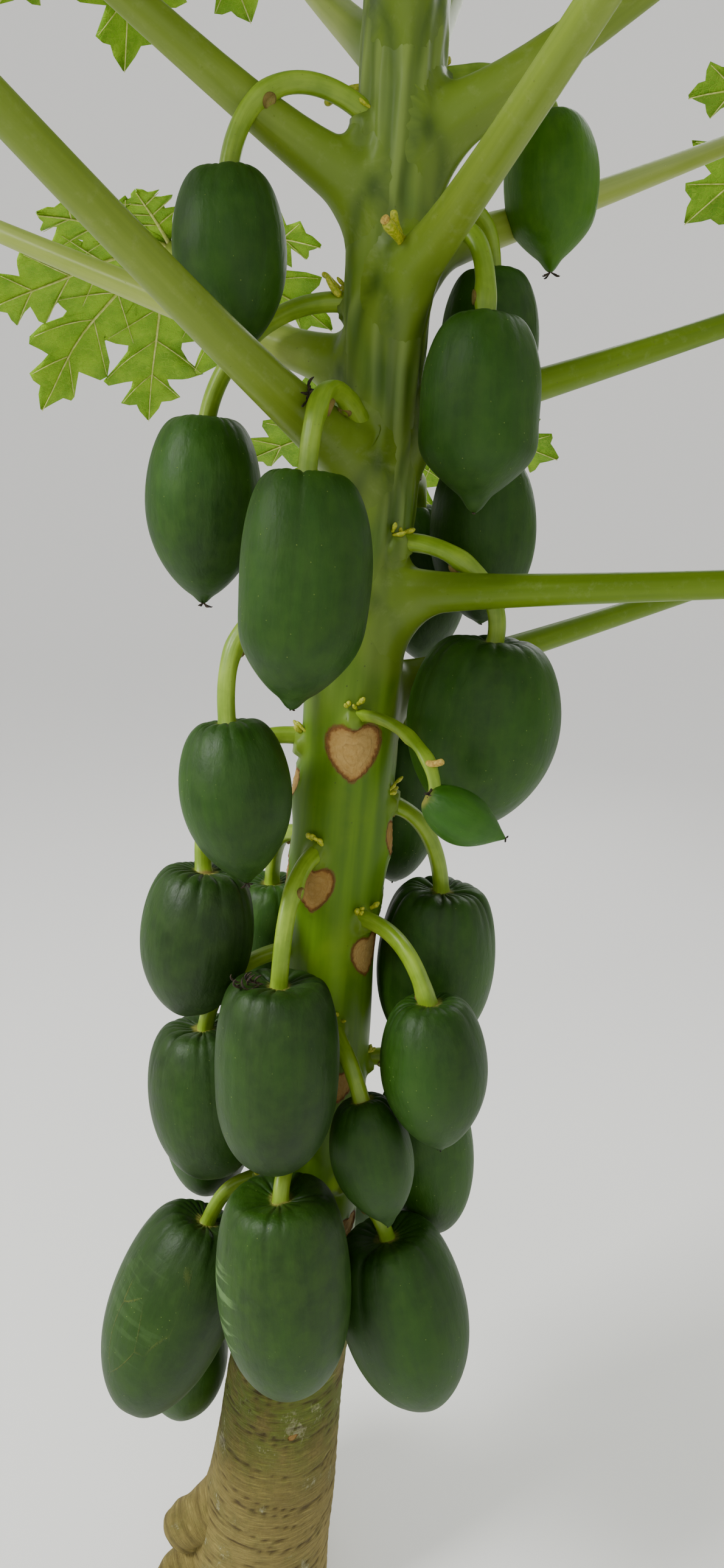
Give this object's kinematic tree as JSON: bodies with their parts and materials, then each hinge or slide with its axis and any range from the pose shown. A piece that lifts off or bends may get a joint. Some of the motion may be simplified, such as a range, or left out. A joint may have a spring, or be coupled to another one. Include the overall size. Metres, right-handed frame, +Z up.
{
  "type": "papaya tree",
  "caption": "Fruiting papaya tree: a leaning trunk with root flare, a spiral crown of long-stalked lobed leaves, and green fruit hanging close round the trunk.",
  "frame": {"origin": "middle of the flat cut under the trunk, at ground level", "axes": "+Z up along the growing direction; -Y is the side the fruit and trunk are seen from; +X to the right of that view, the way the trunk leans"},
  "size_m": [1.9973, 2.059, 2.5913],
  "materials": {
    "bark": "rough ringed bark, smooth green towards the tip",
    "leaf": "satin leaf, pale veins",
    "rind": "waxy green rind with a dull bloom"
  },
  "bodies": {
    "root": {"fruit_01": "rind", "fruit_02": "rind", "fruit_03": "rind", "fruit_04": "rind", "fruit_05": "rind", "fruit_06": "rind", "fruit_07": "rind", "fruit_08": "rind", "fruit_09": "rind", "fruit_10": "rind", "fruit_11": "rind", "fruit_12": "rind", "fruit_13": "rind", "fruit_14": "rind", "fruit_15": "rind", "fruit_16": "rind", "fruit_17": "rind", "fruit_18": "rind", "fruit_19": "rind", "fruit_20": "rind", "fruit_21": "rind", "fruit_22": "rind", "fruit_23": "rind", "fruit_24": "rind", "fruit_25": "rind", "fruit_26": "rind", "fruit_27": "rind", "fruit_28": "rind", "fruit_29": "rind", "leaf_01": "leaf", "leaf_02": "leaf", "leaf_03": "leaf", "leaf_04": "leaf", "leaf_05": "leaf", "leaf_06": "leaf", "leaf_07": "leaf", "leaf_08": "leaf", "leaf_09": "leaf", "leaf_10": "leaf", "leaf_11": "leaf", "leaf_12": "leaf", "leaf_13": "leaf", "leaf_14": "leaf", "leaf_15": "leaf", "leaf_16": "leaf", "leaf_17": "leaf", "leaf_18": "leaf", "leaf_19": "leaf", "leaf_20": "leaf", "leaf_21": "leaf", "leaf_22": "leaf", "leaf_23": "leaf", "leaf_24": "leaf", "leaf_25": "leaf", "leaf_26": "leaf", "leaf_27": "leaf", "trunk": "bark"}
  },
  "joints": []
}
